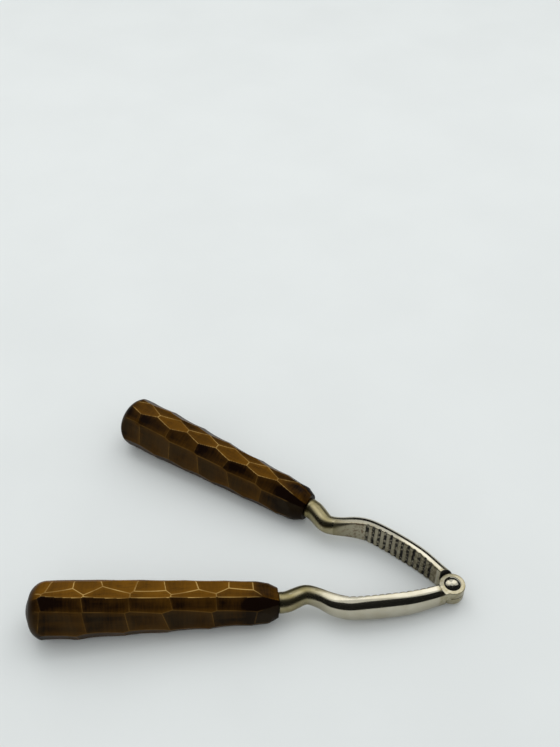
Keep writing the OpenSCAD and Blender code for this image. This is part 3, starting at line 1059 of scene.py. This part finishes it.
def wood_material(finish):
    """Dark stained wood under lacquer, golden on its ridges, with painted top light and shade by
    row and a painted floor reflection on the lower rows.
    """
    material, tree, shader = new_material("grip_wood")
    place = attribute(tree, "wood_place", "Vector")
    grain = use_group(tree, long_grain, Vector=place)
    brushed = use_group(tree, long_grain, Vector=place, Width=0.4, Stretch=8.0)["Streaks"]
    clouds = use_group(
        tree, handled_surface, Vector=place, Scale=90.0, Speck_Scale=900.0)["Clouds"]
    ridge, station = attribute(tree, "ridge_distance"), attribute(tree, "station")
    row_stain_and_light = attribute(tree, "thin_stain")
    # the stain is thinner in some rows, which paints top light on the upward rows and shade on the
    # side rows; it is also thinner at one end of each facet, near the ridges and in streaks; the
    # dark rows vary less than the light ones
    stray = remap(attribute(tree, "facet_end"), 0.5, -0.5, -0.09, 0.12)
    stray += remap(ridge, 0.0026, 0.0002, -0.03, 0.12)
    for amount, weight in ((attribute(tree, "tone"), 0.2), (grain["Streaks"], 0.13),
                           (brushed, 0.12), (clouds, 0.16)):
        stray += (amount - 0.5) * weight
    thin = row_stain_and_light + stray * remap(row_stain_and_light, 0.12, 0.30, 0.62, 1.0)
    # it is darker towards the front face and the butt
    thin -= remap(station, 0.019, 0.006, 0.0, 0.46) + remap(station, 0.094, 0.102, 0.0, 0.14)
    # the butt has no facets of its own: there every row's stain fades into one tone
    on_butt = remap(station, 0.0985, 0.1045)
    thin = thin * (1.0 - on_butt) + (0.02 + clouds * 0.2) * on_butt
    # painted reflection of the floor on the lower rows, and the same tint over the butt
    bloom = calc("MAXIMUM", attribute(tree, "bloom"), on_butt * 0.5) * ranged(clouds, 0.3, 0.75)
    # the ridges are rubbed bare, most of all in the light rows, where the brighter gold is a
    # painted highlight on the upward rows
    rub_and_glint = (remap(ridge, 0.00034, 0.00008) * attribute(tree, "skin")
           * remap(clouds, 0.1, 0.8, 0.35, 0.95)
           * remap(attribute(tree, "uncarved"), 0.0009, 0.0001)
           * remap(row_stain_and_light, 0.1, 0.6, 0.36, 1.0))
    # gold on the upward rows' ridges: a painted highlight over rubbed wood
    gold = coated(finish.ridge_brown, (remap(row_stain_and_light, 0.28, 0.52), finish.ridge_gold))
    put(shader["Base Color"], coated(
        finish.wood_dark, (remap(thin, 0.0, 1.0, smooth=False), finish.wood_light),
        (grain["Pores"] * 0.4, finish.wood_dark), (bloom, finish.bloom), (rub_and_glint, gold)))
    put(shader["Roughness"], finish.wood_roughness + clouds * 0.12 - rub_and_glint * 0.08)
    put(shader["Specular IOR Level"], 0.025)
    put(shader["Normal"], bump(grain["Height"], 0.12 * MM, 0.3))
    return material


def floor_material(studio):
    """Pale floor with the faintest mottling."""
    material, tree, shader = new_material("pale_floor")
    clouds = use_group(tree, handled_surface, Vector=object_place(tree), Scale=14.0,
                       Speck_Scale=2600.0)["Clouds"]
    put(shader["Base Color"], coated(studio.floor, (clouds, [c * 0.975 for c in studio.floor])))
    put(shader["Roughness"], 0.75)
    put(shader["Specular IOR Level"], 0.2)
    return material


def cloth_material():
    """Black cloth, for what the metal's gloss shows."""
    material, _, shader = new_material("dark_cloth")
    put(shader["Base Color"], (0.008, 0.008, 0.008, 1))
    put(shader["Roughness"], 0.9)
    return material


# -------------------- operators

class NUTCRACKER_OT_levers(bpy.types.Operator):
    """Forge the two levers, one of them turned over"""
    bl_idname = "nutcracker.make_levers"
    bl_label = "Make levers"

    def execute(self, context):
        scene = context.scene
        material = steel_material(scene.nutcracker_finish, scene.nutcracker_hinge)
        path = BarPath(scene.nutcracker_hinge, scene.nutcracker_jaw,
                       scene.nutcracker_shank, scene.nutcracker_grip)
        lever = lever_mesh(scene, path, material)
        paint_lever(lever, path, scene.nutcracker_jaw)
        for side in "ab":
            mesh = lever.copy()
            mesh.transform(side_place(scene.nutcracker_hinge, side))
            soft_shade(mesh, 38)
            finish_piece("forged_lever_" + side, mesh, material, "side_" + side,
                         "lever_" + side)
        bpy.data.meshes.remove(lever)
        return {"FINISHED"}


class NUTCRACKER_OT_rivet(bpy.types.Operator):
    """Make the hinge rivet with its two domed heads"""
    bl_idname = "nutcracker.make_rivet"
    bl_label = "Make rivet"

    def execute(self, context):
        hinge = context.scene.nutcracker_hinge
        top = hinge.ear_gap / 2 + hinge.ear_thickness
        head_r, shank_r = hinge.head_diameter / 2, hinge.rivet_diameter / 2
        # a dome between a cap and half an ellipse, on a small upright foot, from the crown down
        foot, roundness = 0.1 * MM, 0.9
        crown, rise = top + hinge.head_height, hinge.head_height - foot
        cap = (head_r ** 2 + rise ** 2) / (2 * rise)
        head = [(crown, 0.0)]
        for t in np.linspace(0.015, 0.995, 30):
            r = head_r * math.sin(t * math.pi / 2)
            fall = roundness * (cap - math.sqrt(cap ** 2 - r ** 2))
            fall += (1 - roundness) * rise * (1 - math.sqrt(1 - (r / head_r) ** 2))
            head.append((crown - fall, r))
        head += [(top + foot - 0.03 * MM, head_r), (top + 0.04 * MM, head_r),
                 (top, head_r - 0.05 * MM)]
        outline = head + [(top, shank_r), (-top, shank_r)] + [(-z, r) for z, r in reversed(head)]
        mesh = turned("rivet", outline, 96)
        mesh.transform(Matrix.Translation(Vector(HINGE)))
        soft_shade(mesh, 50)
        finish_piece("hinge_rivet", mesh, rivet_material(context.scene.nutcracker_finish),
                     "side_a", "rivet")
        return {"FINISHED"}


class NUTCRACKER_OT_grips(bpy.types.Operator):
    """Carve the two wooden grips"""
    bl_idname = "nutcracker.make_grips"
    bl_label = "Make grips"

    def execute(self, context):
        scene = context.scene
        material = wood_material(scene.nutcracker_finish)
        turn = {"a": Matrix.Identity(4), "b": Matrix.Rotation(math.pi, 4, "Z")}
        for seed, side in enumerate("ab"):
            mesh = grip_mesh(scene, side, material, seed)
            mesh.transform(side_place(scene.nutcracker_hinge, side)
                           @ grip_place(scene.nutcracker_grip) @ turn[side])
            soft_shade(mesh, 60)
            finish_piece("carved_grip_" + side, mesh, material, "side_" + side,
                         "grip_" + side)
        return {"FINISHED"}


class NUTCRACKER_OT_studio(bpy.types.Operator):
    """Set up the floor, the light and the camera"""
    bl_idname = "nutcracker.make_studio"
    bl_label = "Make studio"

    # places on the table, in metres: x right and y away from the camera
    hinge_height = 5.9 * MM
    floor_reach = 1.6
    band_radius, band_foot = 1.1, 0.02
    windows = {"window_left": (-0.40, 0.50, 0.78), "window_right": (0.34, 0.50, 0.80)}
    window_width, window_height = 0.5, 0.8
    window_aim = (-0.08, 0, 0)
    camera_place = (-0.074511, -0.292165, 0.388327)
    sky_colour, seen_sky = (0.97, 1.0, 1.0, 1.0), 0.9

    def execute(self, context):
        scene = context.scene
        studio = scene.nutcracker_studio
        on_table = (Matrix.Translation((0, 0, self.hinge_height))
                    @ Matrix.Rotation(studio.yaw, 4, "Z") @ Matrix.Rotation(studio.tilt, 4, "Y")
                    @ Matrix.Translation(-Vector(HINGE)))
        to_tool = on_table.inverted()
        self.add_floor(studio, to_tool)
        self.add_dark_band(to_tool)
        self.add_windows(studio, to_tool)
        self.add_sky(scene, studio)
        self.add_camera(scene, studio, to_tool)
        scene.view_settings.view_transform = "Standard"
        return {"FINISHED"}

    def add_stage(self, name, points, faces, material):
        """A part of the stage, from its points in the tool's frame."""
        mesh = bpy.data.meshes.new(name)
        mesh.from_pydata(points, [], faces)
        mesh.materials.append(material)
        made = add_object(name, mesh)
        return made

    def add_floor(self, studio, to_tool):
        size = self.floor_reach
        points = [to_tool @ Vector((x, y, 0)) for x, y in
                  ((-size, -size), (size, -size), (size, size), (-size, size))]
        self.add_stage("floor", points, [(0, 1, 2, 3)], floor_material(studio))

    def add_dark_band(self, to_tool):
        """A dark band round the studio, low down, that only the gloss of the metal shows."""
        around, radius = 96, self.band_radius
        points, faces = [], []
        for k in range(around):
            a = math.tau * k / around
            # it rises from 30 degrees at the far side to 82 at the near side
            near = min(max((0.45 - math.sin(a)) / 0.9, 0), 1)
            rise = math.radians(30 + 52 * near * near * (3 - 2 * near))
            for height in (self.band_foot, radius * math.tan(rise)):
                points.append(to_tool @ Vector((
                    radius * math.cos(a), radius * math.sin(a), height)))
            b = (k + 1) % around
            faces.append((2 * k, 2 * b, 2 * b + 1, 2 * k + 1))
        band = self.add_stage("dark_band", points, faces, cloth_material())
        band.visible_camera = band.visible_diffuse = band.visible_shadow = False

    def add_windows(self, studio, to_tool):
        aim = to_tool @ Vector(self.window_aim)
        for name, place in self.windows.items():
            lamp = bpy.data.lights.new(name, "AREA")
            lamp.shape = "RECTANGLE"
            lamp.size, lamp.size_y = self.window_width, self.window_height
            lamp.energy = studio.lamp
            holder = add_object(name, lamp)
            holder.location = to_tool @ Vector(place)
            holder.rotation_euler = (aim - holder.location).to_track_quat("-Z", "Y").to_euler()

    def add_sky(self, scene, studio):
        """Even light, and a pale ground for what the camera, gloss and glass see."""
        world = bpy.data.worlds.new("even_sky")
        scene.world = world
        world.use_nodes = True
        tree = world.node_tree
        tree.nodes.clear()
        path = wires(tree, tree.nodes.new("ShaderNodeLightPath").outputs)
        seen = calc("MAXIMUM", path["Is Camera Ray"],
                    calc("MAXIMUM", path["Is Glossy Ray"], path["Is Transmission Ray"]))
        sky = node(tree, "ShaderNodeBackground", self.sky_colour,
                   Strength=ranged(seen, studio.sky, self.seen_sky))
        output = tree.nodes.new("ShaderNodeOutputWorld")
        tree.links.new(sky.outputs[0], output.inputs["Surface"])

    def add_camera(self, scene, studio, to_tool):
        data = bpy.data.cameras.new("camera")
        data.lens = studio.lens
        data.sensor_width = 36.0
        data.clip_start, data.clip_end = 0.01, 20.0
        camera = add_object("camera", data)
        look = Matrix.Rotation(math.pi / 2 - studio.pitch, 4, "X")
        camera.matrix_world = to_tool @ Matrix.Translation(self.camera_place) @ look
        scene.camera = camera


class NUTCRACKER_PT_panel(bpy.types.Panel):
    """Lists the nutcracker's pieces"""
    bl_idname = "NUTCRACKER_PT_panel"
    bl_label = "Lever nutcracker"
    bl_space_type = "VIEW_3D"
    bl_region_type = "UI"
    bl_category = "Nutcracker"

    def draw(self, context):
        for operator in OPERATORS:
            self.layout.operator(operator.bl_idname)


OPERATORS = (NUTCRACKER_OT_levers, NUTCRACKER_OT_rivet, NUTCRACKER_OT_grips, NUTCRACKER_OT_studio)
CLASSES = (*SETTINGS.values(), *OPERATORS, NUTCRACKER_PT_panel)


def register():
    """Registers the classes and puts the settings on the scene."""
    for each in CLASSES:
        bpy.utils.register_class(each)
    for name, group in SETTINGS.items():
        setattr(bpy.types.Scene, name, bpy.props.PointerProperty(type=group))


def unregister():
    """Takes the settings and the classes away again."""
    for name in SETTINGS:
        delattr(bpy.types.Scene, name)
    for each in reversed(CLASSES):
        bpy.utils.unregister_class(each)


def main():
    """Makes the pieces and the studio."""
    register()
    bpy.ops.nutcracker.make_levers()
    bpy.ops.nutcracker.make_rivet()
    bpy.ops.nutcracker.make_grips()
    bpy.ops.nutcracker.make_studio()


if __name__ == "__main__":
    main()
